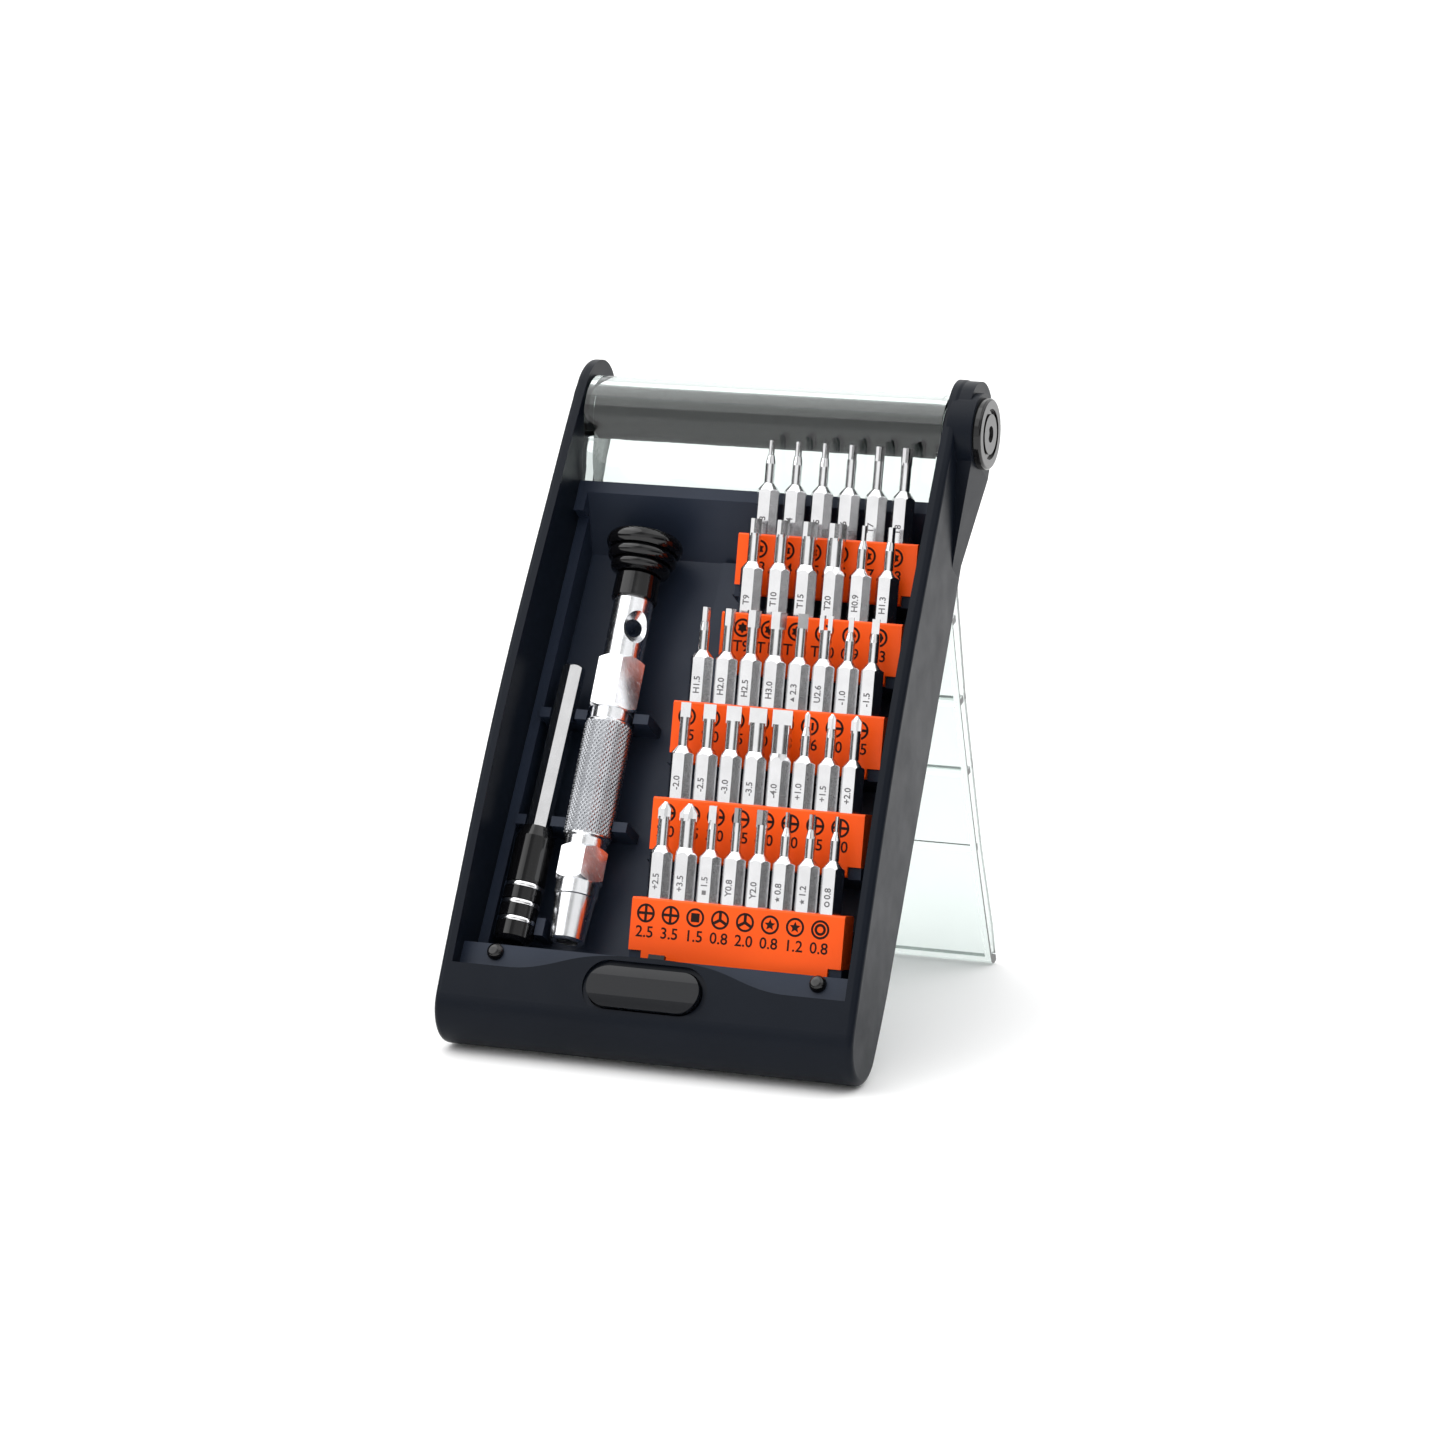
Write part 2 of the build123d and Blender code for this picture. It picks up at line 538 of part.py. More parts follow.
def handle_body():
    body = chamfered_hex(NOZZLE_END, GRIP_START)
    body += turned([(4.1, GRIP_START - 0.5), (4.1, KNURL_START), (4.5, KNURL_START + 0.4),
                    (4.5, KNURL_END - 0.4), (4.1, KNURL_END), (4.1, HEX_START + 0.5)])
    body += chamfered_hex(HEX_START, TUBE_START)
    body += turned([(TUBE_R, TUBE_START - 0.5), (TUBE_R, NECK_START)])
    sink = Pos(0, 0, TUBE_R - 0.5) * Cone(CROSS_R, CROSS_R + SINK_DEPTH, SINK_DEPTH)
    body -= Pos(0, 0, CROSS_HOLE) * Rot(0, 0, CROSS_TURN) * Rot(90, 0, 0) * (Cylinder(CROSS_R, 20) + sink)
    body -= cylinder_up(SPIGOT_R + 0.04, NOZZLE_END + 5.2)
    return body - Pos(0, 0, NECK_START - SPIGOT_L - 0.1) * cylinder_up(SPIGOT_R + 0.04, 10)


def handle_collar():
    """Black neck between the tube and the swivel cap, with a spigot into the tube."""
    body = turned([(SPIGOT_R, NECK_START - SPIGOT_L), (SPIGOT_R, NECK_START), (4.3, NECK_START), (4.5, NECK_START + 0.3),
                   (4.4, CAP_START - 0.4), (4.0, CAP_START)])
    return body - Pos(0, 0, NECK_START - 3) * cylinder_up(PIN_R, 12)


def cap_pin():
    """Pin held in the collar, on which the cap turns."""
    return turned([(PIN_R, NECK_START - 2.9), (PIN_R, CAP_START + 4.0), (2.6, CAP_START + 4.0),
                   (2.6, CAP_START + 5.0)])


CAP_RINGS = ((5.2, 5.9, 2.1), (6.1, 6.8, 2.4), (6.9, 7.55, 2.9))       # waist, crown, height


def swivel_cap():
    """Finger cap: a stack of three rounded rings, widest at the end, which is dished."""
    z = CAP_START + GAP / 2
    edges = [Polyline((0, z), (4.4, z), (CAP_RINGS[0][0], z + 0.4))]
    z += 0.4
    for i, (waist, crown, height) in enumerate(CAP_RINGS):
        edges.append(ThreePointArc((waist, z), (crown, z + height / 2), (waist, z + height)))
        z += height
        if i + 1 < len(CAP_RINGS):
            edges.append(Line((waist, z), (CAP_RINGS[i + 1][0], z)))
    bottom = (0, CAP_START + GAP / 2)
    edges.append(Polyline((CAP_RINGS[-1][0], z), (6.3, z - 0.1), (5.7, z - 0.8), (0, z - 0.8), bottom))
    body = revolve(Plane.XZ * make_face(edges), axis=Axis.Z)
    body -= cylinder_up(PIN_R + 0.06, CAP_START + 3.8)
    return body - Pos(0, 0, CAP_START + 3.7) * cylinder_up(2.66, 1.36)


SLEEVE_R, SLEEVE_L = 3.85, 23.0
SHANK_END = 56.5


def extension_shank():
    """Hexagonal extension rod, seated in its sleeve."""
    rod = hex_prism(BIT_AF, 12.0, SHANK_END, SHANK_TURN)
    corner = BIT_AF / math.sqrt(3)
    return rod & turned([(corner + 0.01, 12.0), (corner + 0.01, SHANK_END - 0.5), (corner - 0.45, SHANK_END)])


def extension_sleeve():
    """Sleeve with a bit socket in its open end and three grooved rings."""
    body = turned([(3.2, 0), (SLEEVE_R, 0.7), (SLEEVE_R, SLEEVE_L - 2.2), (3.0, SLEEVE_L)])
    for z in (4.0, 7.4, 10.9):
        body -= Pos(0, 0, z) * (Cylinder(5, 1.1) - Cylinder(SLEEVE_R - 0.3, 1.2))
    body -= hex_prism(SOCKET_AF, -1, 10.5, SHANK_TURN)
    return body - hex_prism(BIT_AF, 12.0, 30, SHANK_TURN)


# ---------------------------------------------------------------- assembly
in_case = {
    "tray": tray(),
    "rail_right": right_rail(),
    "rail_left": left_rail(),
    "foot_bar": foot_bar(),
    "latch_button": latch_button(),
    "latch_slide": latch_slide(),
    "hinge_barrel": hinge_barrel(),
    "hinge_caps": hinge_caps(),
    "cover_bumpers": pair(bumper()),
    "bit_rack": bit_rack(),
    "cover": Pos(0, HINGE_Y, HINGE_Z) * Rot(SWING, 0, 0) * Pos(0, -HINGE_Y, -HINGE_Z) * cover(),
}

for row, bits in enumerate(ROWS):
    in_case[f"bit_strip_{row + 1}"] = bit_strip(row, len(bits))
    for i, (name, kind, size) in enumerate(bits):
        seat = row_plane(row, bit_x(row, i), -BIT_DEPTH, -STRIP_T / 2)
        in_case[f"bit_{name}"] = seat.location * bit(kind, size)

handle_seat = tool_seat(HANDLE_X, HANDLE_Y, HANDLE_Z, HANDLE_YAW)
for name, solid in (
    ("handle_nozzle", handle_nozzle()),
    ("handle_body", handle_body()),
    ("handle_collar", handle_collar()),
    ("cap_pin", cap_pin()),
    ("swivel_cap", swivel_cap()),
):
    in_case[name] = handle_seat * solid

shank_seat = tool_seat(SHANK_X, SHANK_Y, SHANK_Z, SHANK_YAW)
in_case["extension_shank"] = shank_seat * extension_shank()
in_case["extension_sleeve"] = shank_seat * extension_sleeve()

leaned = {name: Rot(90 - LEAN, 0, 0) * solid for name, solid in in_case.items()}
boxes = [solid.bounding_box() for solid in leaned.values()]
low = [min(getattr(b.min, axis) for b in boxes) for axis in "XYZ"]
high = [max(getattr(b.max, axis) for b in boxes) for axis in "XYZ"]
ORIGIN = ((low[0] + high[0]) / 2, (low[1] + high[1]) / 2, low[2])
PLACE = Pos(-ORIGIN[0], -ORIGIN[1], -ORIGIN[2])

os.makedirs("parts", exist_ok=True)
for name, solid in leaned.items():
    export_step(PLACE * solid, f"parts/{name}.step")
print("origin", ORIGIN, "box", low, high, "nodes", len(leaned))
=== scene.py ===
import math

import bmesh
import bpy
from mathutils import Matrix, Vector


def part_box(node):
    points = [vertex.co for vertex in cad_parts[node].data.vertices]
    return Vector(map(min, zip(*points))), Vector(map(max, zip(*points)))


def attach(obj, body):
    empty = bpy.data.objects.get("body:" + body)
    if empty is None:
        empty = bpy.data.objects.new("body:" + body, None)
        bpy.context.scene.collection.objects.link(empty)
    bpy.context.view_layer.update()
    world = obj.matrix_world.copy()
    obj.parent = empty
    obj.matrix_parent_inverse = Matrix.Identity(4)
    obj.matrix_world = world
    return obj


# Looks of the precision screwdriver set. Drawings below are in millimetres in the case's own
# frame (X across, Y up its length, Z out of its open face) and are placed by CASE.

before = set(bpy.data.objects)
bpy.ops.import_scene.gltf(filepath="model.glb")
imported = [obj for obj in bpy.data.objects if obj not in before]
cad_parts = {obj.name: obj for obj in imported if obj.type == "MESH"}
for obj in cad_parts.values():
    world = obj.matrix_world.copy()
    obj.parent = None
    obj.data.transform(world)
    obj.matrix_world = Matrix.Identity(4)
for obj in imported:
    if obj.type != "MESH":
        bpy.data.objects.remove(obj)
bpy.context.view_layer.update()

MM = 0.001

# ---------------------------------------------------------------- frames
LEAN = 33.25
HINGE_Y, HINGE_Z = 134.0, 0.3
barrel_low, barrel_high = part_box("hinge_barrel")
hinge = (Vector(barrel_low) + Vector(barrel_high)) / 2
CASE = (
    Matrix.Translation(hinge)
    @ Matrix.Rotation(math.radians(90 - LEAN), 4, "X")
    @ Matrix.Scale(MM, 4)
    @ Matrix.Translation((0, -HINGE_Y, -HINGE_Z))
)

ROW_TOP_Y = (109.0, 92.5, 73.6, 53.9, 33.7)
ROW_TOP_Z = 3.3
ROW_TILT = 19.5
STRIP_LEFT = (-1.0, -1.0, -7.0, -7.0, -7.0)
FIRST_BIT = (4.4, 4.4, 4.1, 4.1, 4.1)
BIT_PITCH = (5.5, 5.5, 4.9, 4.9, 4.9)
FIRST_ICON = (4.4, 4.4, 2.95, 2.95, 2.95)
ICON_PITCH = (5.5, 5.5, 4.97, 4.97, 4.97)
BIT_FRONT = -0.7        # front flats of the bits, behind the strip's front face

ROWS = (
    (("torx", "T3"), ("torx", "T4"), ("torx", "T5"), ("torx", "T6"), ("torx", "T7"), ("torx", "T8")),
    (("torx", "T9"), ("torx", "T10"), ("torx", "T15"), ("torx", "T20"), ("hex", "0.9"), ("hex", "1.3")),
    (("hex", "1.5"), ("hex", "2.0"), ("hex", "2.5"), ("hex", "3.0"), ("triangle", "2.3"),
     ("fork", "2.6"), ("slot", "1.0"), ("slot", "1.5")),
    (("slot", "2.0"), ("slot", "2.5"), ("slot", "3.0"), ("slot", "3.5"), ("slot", "4.0"),
     ("cross", "1.0"), ("cross", "1.5"), ("cross", "2.0")),
    (("cross", "2.5"), ("cross", "3.5"), ("square", "1.5"), ("wing", "0.8"), ("wing", "2.0"),
     ("star", "0.8"), ("star", "1.2"), ("round", "0.8")),
)


def strip_frame(row, x, along, out):
    """Frame on a strip: X across the case, Y along the bits, Z out of the strip's face."""
    tilt = math.radians(ROW_TILT)
    c, s = math.cos(tilt), math.sin(tilt)
    y = ROW_TOP_Y[row] + along * c - out * s
    z = ROW_TOP_Z + along * s + out * c
    return Matrix.Translation((x, y, z)) @ Matrix.Rotation(tilt, 4, "X")


TOOL_TILT = 1.4
HANDLE_SEAT, HANDLE_YAW = (-21.2, 25.6, -4.0), -0.4
SHANK_SEAT, SHANK_YAW = (-32.4, 24.6, -4.3), 1.2


def tool_frame(seat, yaw):
    """Frame of a tool lying in the tray, Z along it toward the hinge."""
    return (
        Matrix.Translation(seat)
        @ Matrix.Rotation(math.radians(-yaw), 4, "Z")
        @ Matrix.Rotation(math.radians(TOOL_TILT - 90), 4, "X")
    )


# ---------------------------------------------------------------- materials
def new_material(name, **sockets):
    """A Principled material with its plain values set; returns it with its tree's parts."""
    mat = bpy.data.materials.new(name)
    mat.use_nodes = True
    tree = mat.node_tree
    shader = tree.nodes["Principled BSDF"]
    for key, value in sockets.items():
        shader.inputs[key.replace("_", " ")].default_value = value
    coords = tree.nodes.new("ShaderNodeTexCoord")
    return mat, tree, shader, coords.outputs["Object"]


def noise(tree, where, scale, detail=3.0, stretch=None, turn=None):
    """Noise at so many cells per metre, stretched along one axis if asked."""
    node = tree.nodes.new("ShaderNodeTexNoise")
    node.inputs["Scale"].default_value = scale
    node.inputs["Detail"].default_value = detail
    if stretch is not None:
        mapping = tree.nodes.new("ShaderNodeMapping")
        mapping.inputs["Scale"].default_value = stretch
        if turn is not None:
            mapping.inputs["Rotation"].default_value = turn
        tree.links.new(where, mapping.inputs["Vector"])
        where = mapping.outputs["Vector"]
    tree.links.new(where, node.inputs["Vector"])
    return node.outputs["Fac"]


def spread(tree, value, low, high, start=0.3, end=0.7):
    """Maps the span from start to end onto low to high."""
    node = tree.nodes.new("ShaderNodeMapRange")
    node.inputs["From Min"].default_value = start
    node.inputs["From Max"].default_value = end
    node.inputs["To Min"].default_value = low
    node.inputs["To Max"].default_value = high
    tree.links.new(value, node.inputs["Value"])
    return node.outputs["Result"]


def blend_colors(tree, value, first, second):
    """Runs from the first colour to the second as the value rises."""
    node = tree.nodes.new("ShaderNodeValToRGB")
    node.color_ramp.elements[0].position = 0.3
    node.color_ramp.elements[0].color = (*first, 1)
    node.color_ramp.elements[1].position = 0.7
    node.color_ramp.elements[1].color = (*second, 1)
    tree.links.new(value, node.inputs["Fac"])
    return node.outputs["Color"]


def bump(tree, shader, value, strength, distance):
    """Surface relief from a height value; distance is in metres."""
    node = tree.nodes.new("ShaderNodeBump")
    node.inputs["Strength"].default_value = strength
    node.inputs["Distance"].default_value = distance
    tree.links.new(value, node.inputs["Height"])
    tree.links.new(node.outputs["Normal"], shader.inputs["Normal"])


def moulded(name, color, other, rough, grain=0.12, **sockets):
    """Moulded plastic: fine spark-eroded grain, slow drift of gloss and colour."""
    mat, tree, shader, where = new_material(name, **sockets)
    tree.links.new(blend_colors(tree, noise(tree, where, 45), color, other), shader.inputs["Base Color"])
    gloss = noise(tree, where, 160, 5.0)
    tree.links.new(spread(tree, gloss, rough - 0.04, rough + 0.05), shader.inputs["Roughness"])
    bump(tree, shader, noise(tree, where, 5200, 2.0), grain, 0.00006)
    return mat


def metal(name, color, other, rough, stretch, turn=None, grain=0.10, scale=9000):
    """Machined metal with fine tool lines along one direction."""
    mat, tree, shader, where = new_material(name, Metallic=1.0)
    lines = noise(tree, where, scale, 4.0, stretch, turn)
    tree.links.new(blend_colors(tree, noise(tree, where, 220), color, other), shader.inputs["Base Color"])
    tree.links.new(spread(tree, lines, rough - 0.06, rough + 0.08), shader.inputs["Roughness"])
    bump(tree, shader, lines, grain, 0.00002)
    return mat


CASE_LEAN = (math.radians(LEAN - 90), 0, 0)
TURNED = (0.1, 1, 0.1)          # stretch of the tool lines left by a lathe
DRAWN = (1, 0.08, 1)            # stretch of the lines along drawn bar
shell = moulded("case_plastic", (0.0034, 0.0052, 0.0092), (0.0046, 0.0068, 0.0118), 0.36, 0.10,
                Specular_IOR_Level=0.11)
# The tray's base is lighter and bluer than the rails': partly the tray's own navy tone, partly painted
# sheen for the ledge's reflection.
inner = moulded("tray_plastic_with_sheen", (0.0110, 0.0170, 0.0320), (0.0145, 0.0215, 0.0385), 0.45, 0.2,
                Specular_IOR_Level=0.24)
button_black = moulded("button_plastic", (0.0030, 0.0036, 0.0052), (0.0042, 0.0050, 0.0070), 0.22, 0.05,
                       Specular_IOR_Level=0.24)
gloss_black = moulded("gloss_black", (0.0024, 0.0024, 0.0028), (0.0034, 0.0034, 0.0040), 0.10, 0.02,
                      Specular_IOR_Level=0.30, Coat_Weight=0.25, Coat_Roughness=0.04)
barrel_black = moulded("barrel_plastic", (0.0030, 0.0034, 0.0046), (0.0042, 0.0046, 0.0060), 0.50, 0.08,
                       Specular_IOR_Level=0.10)
rubber = moulded("stud_rubber", (0.0035, 0.0035, 0.0040), (0.0050, 0.0050, 0.0060), 0.14, 0.05)
orange = moulded("strip_orange", (0.86, 0.080, 0.0006), (0.94, 0.098, 0.0012), 0.42, 0.10,
                 Specular_IOR_Level=0.25)
ink = moulded("print_ink", (0.010, 0.003, 0.002), (0.016, 0.005, 0.003), 0.5, 0.05,
              Specular_IOR_Level=0.15)
etch = moulded("etched_mark", (0.10, 0.10, 0.105), (0.15, 0.15, 0.155), 0.6, 0.05)
steel = metal("bit_steel", (0.72, 0.72, 0.73), (0.80, 0.80, 0.81), 0.15, DRAWN, CASE_LEAN)
aluminium = metal("handle_aluminium", (0.84, 0.85, 0.87), (0.90, 0.91, 0.93), 0.20, TURNED, CASE_LEAN)
# The knurling is the handle's own aluminium; its much darker base is painted shade for the knurl's
# grooves.
shaded_knurl_metal = metal("knurled_aluminium", (0.34, 0.35, 0.37), (0.40, 0.41, 0.43), 0.24, TURNED, CASE_LEAN)
bright = metal("bright_ring", (0.78, 0.78, 0.79), (0.86, 0.86, 0.87), 0.14, TURNED, CASE_LEAN)


def clear_plastic():
    """Lightly smoked clear plastic, with the faint waviness of a large moulding."""
    mat, tree, shader, where = new_material("clear_cover", Transmission_Weight=1.0, IOR=1.46,
                                            Roughness=0.02, Specular_IOR_Level=0.3)
    tint = blend_colors(tree, noise(tree, where, 30), (0.66, 0.72, 0.70), (0.71, 0.77, 0.75))
    tree.links.new(tint, shader.inputs["Base Color"])
    bump(tree, shader, noise(tree, where, 60, 1.0), 0.10, 0.0004)
    return mat


clear = clear_plastic()

FINISH = {
    "tray": inner,
    "bit_rack": inner,
    "rail_left": shell,
    "rail_right": shell,
    "foot_bar": shell,
    "hinge_caps": gloss_black,
    "hinge_barrel": barrel_black,
    "latch_button": button_black,
    "latch_slide": button_black,
    "cover_bumpers": rubber,
    "cover": clear,
    "swivel_cap": gloss_black,
    "handle_collar": gloss_black,
    "extension_sleeve": gloss_black,
    "extension_shank": steel,
    "cap_pin": bright,
    "handle_body": aluminium,
    "handle_nozzle": aluminium,
}

for node_name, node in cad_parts.items():
    if node_name.startswith("bit_strip"):
        finish = orange
    else:
        finish = FINISH.get(node_name, steel)
    if not node.material_slots:
        node.data.materials.append(finish)
    for material_slot in node.material_slots:
        material_slot.material = finish


# ---------------------------------------------------------------- mesh helpers
def piece(name, bm, material, body, smooth=False):
    """Turns a bmesh drawn in the case's frame into a piece that rides on a body."""
    bm.transform(CASE)
    bmesh.ops.recalc_face_normals(bm, faces=bm.faces)
    mesh = bpy.data.meshes.new(name)
    bm.to_mesh(mesh)
    bm.free()
    for polygon in mesh.polygons:
        polygon.use_smooth = smooth
    mesh.materials.append(material)
    obj = bpy.data.objects.new(name, mesh)
    bpy.context.collection.objects.link(obj)
    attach(obj, body)
    return obj


PRINT_THICK = 0.04
PRINT_LOW = -0.02
OUTLINE_STEP = 0.002


def add_plate(bm, points, matrix, thick=PRINT_THICK):
    """A thin flat plate over a closed outline, a hair proud of the surface it lies on."""
    base = [bm.verts.new(matrix @ Vector((x, y, PRINT_LOW))) for x, y in points]
    top = [bm.verts.new(matrix @ Vector((x, y, PRINT_LOW + thick))) for x, y in points]
    bm.faces.new(top)
    bm.faces.new(base[::-1])
    count = len(points)
    for i in range(count):
        j = (i + 1) % count
        bm.faces.new((base[i], base[j], top[j], top[i]))


def add_loop(bm, radius, z, matrix, sides):
    """A circle of vertices about the frame's Z."""
    loop = []
    for i in range(sides):
        a = 2 * math.pi * i / sides
        loop.append(bm.verts.new(matrix @ Vector((radius * math.cos(a), radius * math.sin(a), z))))
    return loop


def bridge_loops(bm, loops):
    """Quads between each loop and the next, and from the last back to the first."""
    sides = len(loops[0])
    for k, first in enumerate(loops):
        second = loops[(k + 1) % len(loops)]
        for i in range(sides):
            j = (i + 1) % sides
            bm.faces.new((first[i], first[j], second[j], second[i]))


def lathe(bm, stations, matrix, sides=64):
    """A closed band turned about the frame's Z from (radius, z) stations."""
    bridge_loops(bm, [add_loop(bm, radius, z, matrix, sides) for radius, z in stations])


def add_ring(bm, outer, inner, matrix, sides=40):
    """A thin flat printed ring."""
    low, high = PRINT_LOW, PRINT_LOW + PRINT_THICK
    lathe(bm, ((inner, low), (outer, low), (outer, high), (inner, high)), matrix, sides)


def polygon_points(count, radius, start=90.0, inner_radius=None):
    """A regular polygon, or a star when an inner radius is given."""
    points = []
    steps = count if inner_radius is None else 2 * count
    for i in range(steps):
        r = radius if inner_radius is None or i % 2 == 0 else inner_radius
        a = math.radians(start + 360.0 * i / steps)
        points.append((r * math.cos(a), r * math.sin(a)))
    return points


def rectangle(width, height, cx=0.0, cy=0.0, turn=0.0):
    """Corners of a rectangle about (cx, cy), then turned about the origin."""
    c, s = math.cos(math.radians(turn)), math.sin(math.radians(turn))
    corners = ((-1, -1), (1, -1), (1, 1), (-1, 1))
    out = []
    for i, j in corners:
        x, y = cx + i * width / 2, cy + j * height / 2
        out.append((x * c - y * s, x * s + y * c))
    return out


def symbol(kind, r):
    """Outlines that make up a drive symbol of radius r."""
    if kind == "torx":
        return [polygon_points(6, r, 90, 0.62 * r)]
    if kind == "star":
        return [polygon_points(5, r, 90, 0.46 * r)]
    if kind == "hex":
        return [polygon_points(6, 0.92 * r, 0)]
    if kind == "triangle":
        return [polygon_points(3, r, 90)]
    if kind == "square":
        return [rectangle(1.5 * r, 1.5 * r)]
    if kind == "slot":
        return [rectangle(2 * r, 0.36 * r)]
    if kind == "wing":
        return [rectangle(0.4 * r, r, 0, r / 2, 120 * i) for i in range(3)]
    if kind == "fork":
        return [rectangle(0.42 * r, 1.3 * r, side * 0.5 * r) for side in (-1, 1)]
    a, b = r, 0.18 * r
    return [[(-a, -b), (-b, -b), (-b, -a), (b, -a), (b, -b), (a, -b), (a, b), (b, b), (b, a),
             (-b, a), (-b, b), (-a, b)]]


def add_symbol(bm, kind, r, matrix):
    """A drive symbol; its outlines step up slightly so that crossing ones don't share a face."""
    if kind == "round":
        add_ring(bm, r, 0.55 * r, matrix, 28)
        return
    for i, outline in enumerate(symbol(kind, r)):
        add_plate(bm, outline, matrix, PRINT_THICK + OUTLINE_STEP * i)


def add_text(bm, words, size, matrix, align="CENTER", bold=0.035):
    """Raised lettering from the built-in font, middle of the line on the frame's origin."""
    curve = bpy.data.curves.new("words", "FONT")
    curve.body = words
    curve.size = size
    curve.align_x = align
    curve.align_y = "CENTER"
    curve.extrude = 0.02
    curve.offset = bold
    curve.resolution_u = 3
    holder = bpy.data.objects.new("words", curve)
    bpy.context.collection.objects.link(holder)
    evaluated = holder.evaluated_get(bpy.context.evaluated_depsgraph_get())
    mesh = bpy.data.meshes.new_from_object(evaluated)
    mesh.transform(matrix)
    bm.from_mesh(mesh)
    bpy.data.meshes.remove(mesh)
    bpy.data.objects.remove(holder)
    bpy.data.curves.remove(curve)


# ---------------------------------------------------------------- printing and marks
ICON_R, ICON_DOWN, NUMBER_DOWN, NUMBER_SIZE = 1.8, 2.9, 6.5, 3.0
ICON_RING = 0.76                # inner radius of an icon's ring, as a share of its radius
WIDE_SYMBOL, SMALL_SYMBOL = 0.8, 0.62
WIDE_KINDS = ("slot", "cross", "wing")
MARK_SIZE, MARK_UP = 1.75, 1.6
MARK_SYMBOL_R, MARK_SYMBOL_UP, MARK_SYMBOL_ROOM = 0.55, 0.3, 1.2
PREFIX = {"hex": "H", "slot": "-", "cross": "+", "fork": "U", "wing": "Y"}
DRAWN_PREFIX = ("triangle", "square", "star", "round")
QUARTER = Matrix.Rotation(math.radians(90), 4, "Z")

for row, bits in enumerate(ROWS):
    print_bm = bmesh.new()
    mark_bm = bmesh.new()
    for i, (kind, size) in enumerate(bits):
        icon_x = STRIP_LEFT[row] + FIRST_ICON[row] + ICON_PITCH[row] * i
        icon_at = strip_frame(row, icon_x, -ICON_DOWN, 0)
        symbol_share = WIDE_SYMBOL if kind in WIDE_KINDS else SMALL_SYMBOL
        add_ring(print_bm, ICON_R, ICON_RING * ICON_R, icon_at)
        add_symbol(print_bm, kind, symbol_share * ICON_R, icon_at)
        add_text(print_bm, size, NUMBER_SIZE, strip_frame(row, icon_x, -NUMBER_DOWN, 0))
        bit_x = STRIP_LEFT[row] + FIRST_BIT[row] + BIT_PITCH[row] * i
        start = MARK_UP
        if kind in DRAWN_PREFIX:
            symbol_at = strip_frame(row, bit_x, start + MARK_SYMBOL_UP, BIT_FRONT) @ QUARTER
            add_symbol(mark_bm, kind, MARK_SYMBOL_R, symbol_at)
            start += MARK_SYMBOL_ROOM
        words = PREFIX.get(kind, "") + size
        add_text(mark_bm, words, MARK_SIZE, strip_frame(row, bit_x, start, BIT_FRONT) @ QUARTER, "LEFT")
    piece(f"strip_print_{row + 1}", print_bm, ink, "case")
    piece(f"size_marks_{row + 1}", mark_bm, etch, f"bit_row_{row + 1}")


# ---------------------------------------------------------------- handle details
KNURL_START, KNURL_END = 20.9, 44.0
KNURL_R, KNURL_DEPTH = 4.47, 0.22
KNURL_COUNT, KNURL_PITCH = 34, 1.05
KNURL_STEPS = 6                 # mesh steps from one groove to the next
KNURL_BORE_R = 4.2
KNURL_FADE_STEPS = 3            # the grooves run out over this many steps at each end
KNURL_FLAT = 1.25               # above 1, so that the pyramids keep small flat tops

RING_PLACES = (4.0, 7.4, 10.9)
RING_HALF, RING_R = 0.5, 3.84


def groove_distance(turns):
    """0 on a groove line, 1 midway between two."""
    part = turns - math.floor(turns)
    return 2 * min(part, 1 - part)


def knurl_sleeve():
    """Diamond knurling: pyramids left between two families of helical grooves."""
    bm = bmesh.new()
    seat = tool_frame(HANDLE_SEAT, HANDLE_YAW)
    around = KNURL_COUNT * KNURL_STEPS
    along = int(round((KNURL_END - KNURL_START) / KNURL_PITCH * KNURL_STEPS))
    loops = []
    for k in range(along + 1):
        z = KNURL_START + (KNURL_END - KNURL_START) * k / along
        fade = min(1.0, min(k, along - k) / KNURL_FADE_STEPS)
        loop = []
        for i in range(around):
            turn = i / around
            left = groove_distance(turn * KNURL_COUNT + z / KNURL_PITCH)
            right = groove_distance(turn * KNURL_COUNT - z / KNURL_PITCH)
            r = KNURL_R + KNURL_DEPTH * fade * min(1.0, KNURL_FLAT * min(left, right))
            a = 2 * math.pi * turn
            loop.append(bm.verts.new(seat @ Vector((r * math.cos(a), r * math.sin(a), z))))
        loops.append(loop)
    for z in (KNURL_END, KNURL_START):
        loops.append(add_loop(bm, KNURL_BORE_R, z, seat, around))
    bridge_loops(bm, loops)
    return bm


piece("handle_knurl", knurl_sleeve(), shaded_knurl_metal, "handle")


def band(z, half, radius, depth=0.45):
    """Stations of a closed band with softened edges."""
    soft = 0.12
    return [(radius - depth, z - half), (radius - soft, z - half), (radius, z - half + soft),
            (radius, z + half - soft), (radius - soft, z + half), (radius - depth, z + half)]


rings = bmesh.new()
for ring_z in RING_PLACES:
    lathe(rings, band(ring_z, RING_HALF, RING_R), tool_frame(SHANK_SEAT, SHANK_YAW))
piece("sleeve_rings", rings, bright, "extension", True)


# ---------------------------------------------------------------- floor, light, camera
FLOOR_HALF = 12.0               # metres
FLOOR_DROP = 0.0003             # keeps the floor just clear of the set's feet

CEILING_DIM, OPENING_DIM, WALL_DIM = 0.62, 0.6, 0.93
ROOM_LIGHT = 1.15


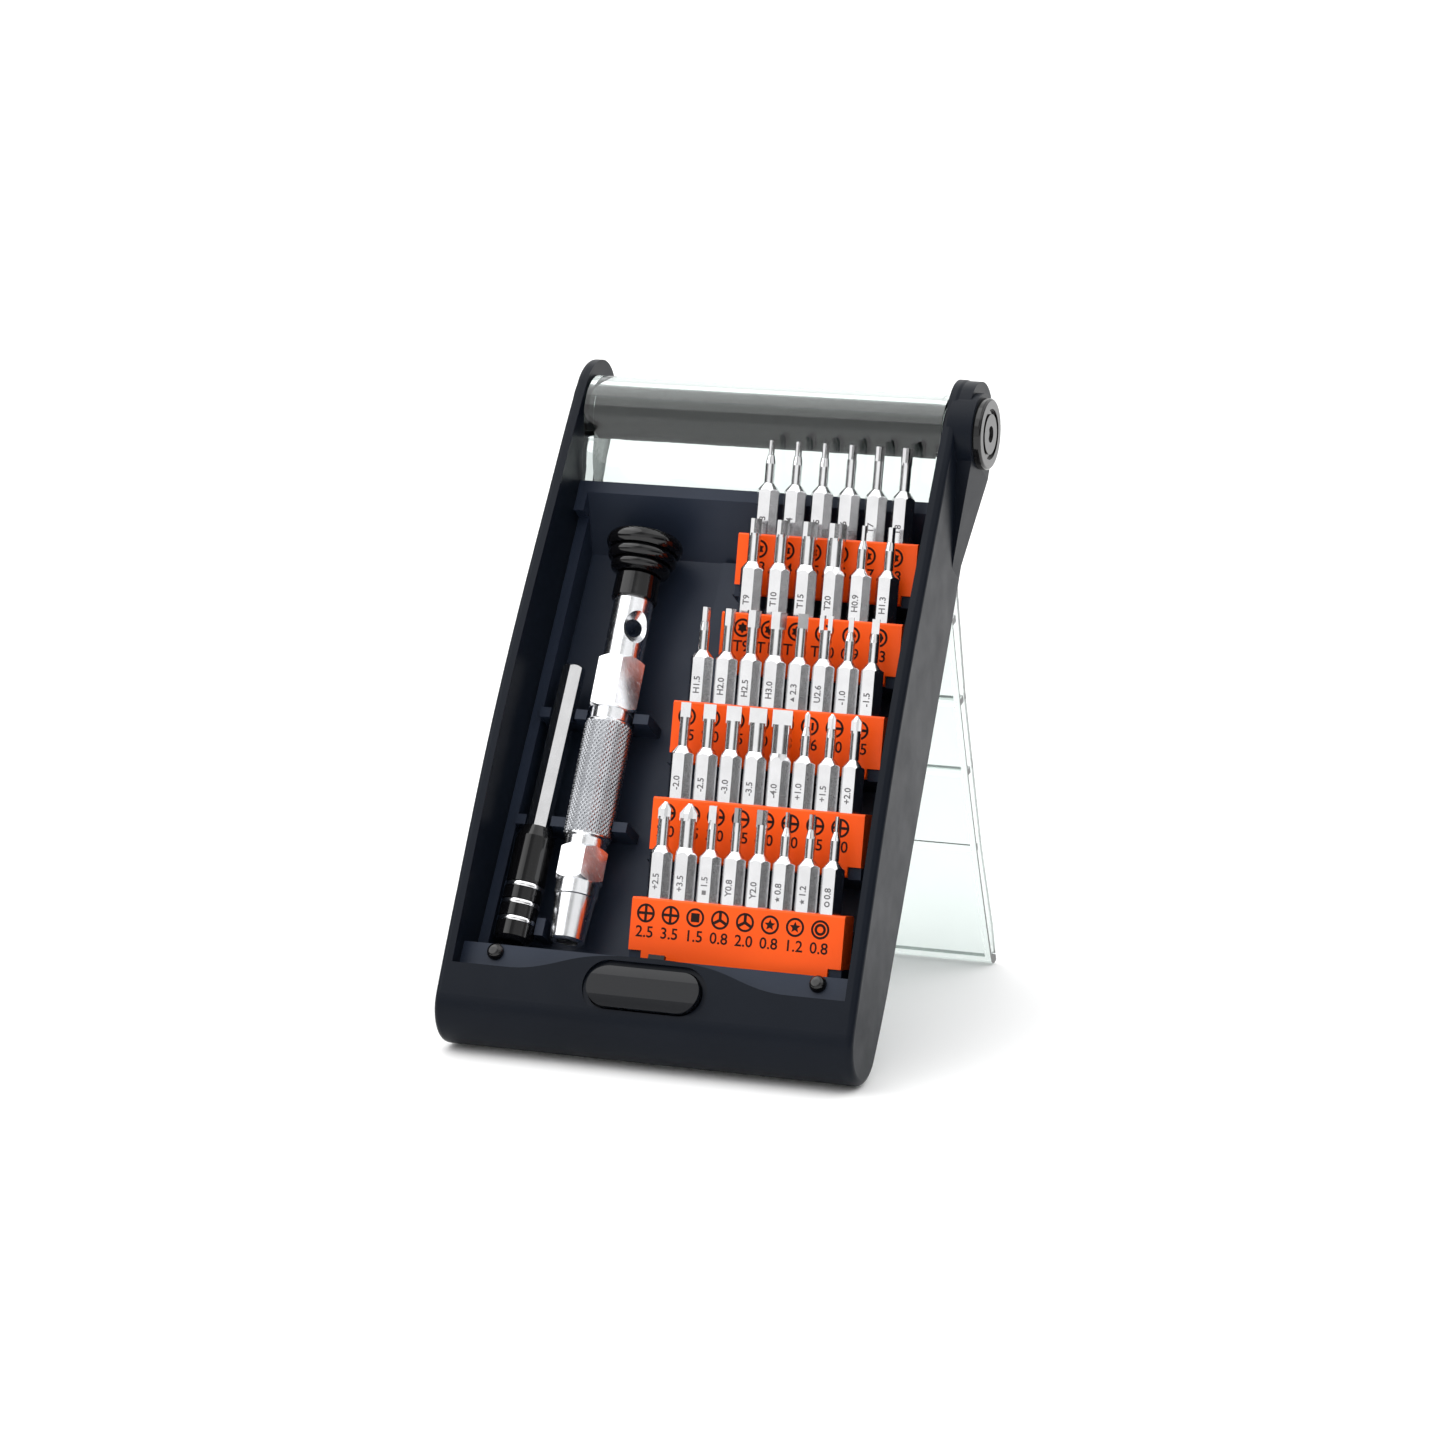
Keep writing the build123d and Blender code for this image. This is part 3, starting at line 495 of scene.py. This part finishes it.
def stage_floor():
    """A plain pale floor, much wider than the view."""
    mat, tree, shader, where = new_material("floor", Roughness=0.55, Specular_IOR_Level=0.2)
    tree.links.new(
        blend_colors(tree, noise(tree, where, 3), (0.90, 0.90, 0.90), (0.93, 0.93, 0.93)),
        shader.inputs["Base Color"],
    )
    bm = bmesh.new()
    bmesh.ops.create_grid(bm, x_segments=8, y_segments=8, size=FLOOR_HALF)
    mesh = bpy.data.meshes.new("floor")
    bm.to_mesh(mesh)
    bm.free()
    mesh.materials.append(mat)
    floor = bpy.data.objects.new("floor", mesh)
    floor.location = (0, 0, -FLOOR_DROP)
    bpy.context.collection.objects.link(floor)


def sun(name, azimuth, elevation, strength, angle):
    """A broad distant lamp; azimuth 0 is in front of the set, 90 to its right."""
    data = bpy.data.lights.new(name, "SUN")
    data.energy = strength
    data.angle = math.radians(angle)
    lamp = bpy.data.objects.new(name, data)
    a, e = math.radians(azimuth), math.radians(elevation)
    toward = Vector((math.sin(a) * math.cos(e), -math.cos(a) * math.cos(e), math.sin(e)))
    lamp.location = toward
    lamp.rotation_mode = "QUATERNION"
    lamp.rotation_quaternion = toward.to_track_quat("Z", "Y")
    bpy.context.collection.objects.link(lamp)


def step(tree, value, start, end):
    """0 below start and 1 above end, smoothly; swap them for the opposite."""
    node = tree.nodes.new("ShaderNodeMapRange")
    node.interpolation_type = "SMOOTHSTEP"
    flip = start > end
    node.inputs["From Min"].default_value = min(start, end)
    node.inputs["From Max"].default_value = max(start, end)
    node.inputs["To Min"].default_value = 1.0 if flip else 0.0
    node.inputs["To Max"].default_value = 0.0 if flip else 1.0
    tree.links.new(value, node.inputs["Value"])
    return node.outputs["Result"]


def combine(tree, operation, first, second):
    """A math node on two values, each a number or another node's output."""
    node = tree.nodes.new("ShaderNodeMath")
    node.operation = operation
    for value, socket in ((first, node.inputs[0]), (second, node.inputs[1])):
        if isinstance(value, float):
            socket.default_value = value
        else:
            tree.links.new(value, socket)
    return node.outputs[0]


def studio_world():
    """White room with a dim ceiling and dark side walls, for the metal to mirror."""
    world = bpy.data.worlds.new("studio")
    world.use_nodes = True
    tree = world.node_tree
    split = tree.nodes.new("ShaderNodeSeparateXYZ")
    tree.links.new(tree.nodes.new("ShaderNodeTexCoord").outputs["Generated"], split.inputs["Vector"])
    x, z = split.outputs["X"], split.outputs["Z"]
    ceiling = combine(tree, "MULTIPLY", step(tree, z, 0.30, 0.55), step(tree, x, -0.45, -0.12))
    opening = combine(tree, "MULTIPLY", step(tree, x, 0.12, 0.40), OPENING_DIM)
    ceiling = combine(tree, "MULTIPLY", ceiling, combine(tree, "SUBTRACT", 1.0, opening))
    right = combine(tree, "MULTIPLY", step(tree, x, 0.45, 0.80), step(tree, z, 0.45, 0.25))
    left = combine(tree, "MULTIPLY", step(tree, x, -0.38, -0.50), step(tree, z, 0.34, 0.20))
    walls = combine(tree, "MULTIPLY", combine(tree, "MAXIMUM", left, right), WALL_DIM)
    ceiling = combine(tree, "MULTIPLY", ceiling, CEILING_DIM)
    dark = combine(tree, "MAXIMUM", ceiling, walls)
    light = combine(tree, "MULTIPLY", combine(tree, "SUBTRACT", 1.0, dark), ROOM_LIGHT)
    tree.links.new(light, tree.nodes["Background"].inputs["Strength"])
    tree.nodes["Background"].inputs["Color"].default_value = (1, 1, 1, 1)
    bpy.context.scene.world = world


stage_floor()
studio_world()
sun("key", -60, 50, 1.3, 70)
sun("overhead", 160, 75, 1.9, 100)
bpy.context.scene.view_settings.view_transform = "Standard"

CAMERA_AT = Vector((321.13, -813.95, 264.26))       # from the case frame's origin, upright axes
CAMERA_RIGHT = Vector((0.93655, 0.35054, 0.0))
CAMERA_UP = Vector((-0.07677, 0.20510, 0.97573))
case_origin = CASE @ Vector((0, 0, 0))

camera_data = bpy.data.cameras.new("camera")
camera_data.lens = 122.2
camera_data.sensor_width = 36.0
camera_data.clip_start = 0.05
camera_data.clip_end = 60.0
camera = bpy.data.objects.new("camera", camera_data)
camera_back = CAMERA_RIGHT.cross(CAMERA_UP)
axes = Matrix((CAMERA_RIGHT, CAMERA_UP, camera_back)).transposed().to_4x4()
camera.matrix_world = Matrix.Translation(case_origin + CAMERA_AT * MM) @ axes
bpy.context.collection.objects.link(camera)
bpy.context.scene.camera = camera
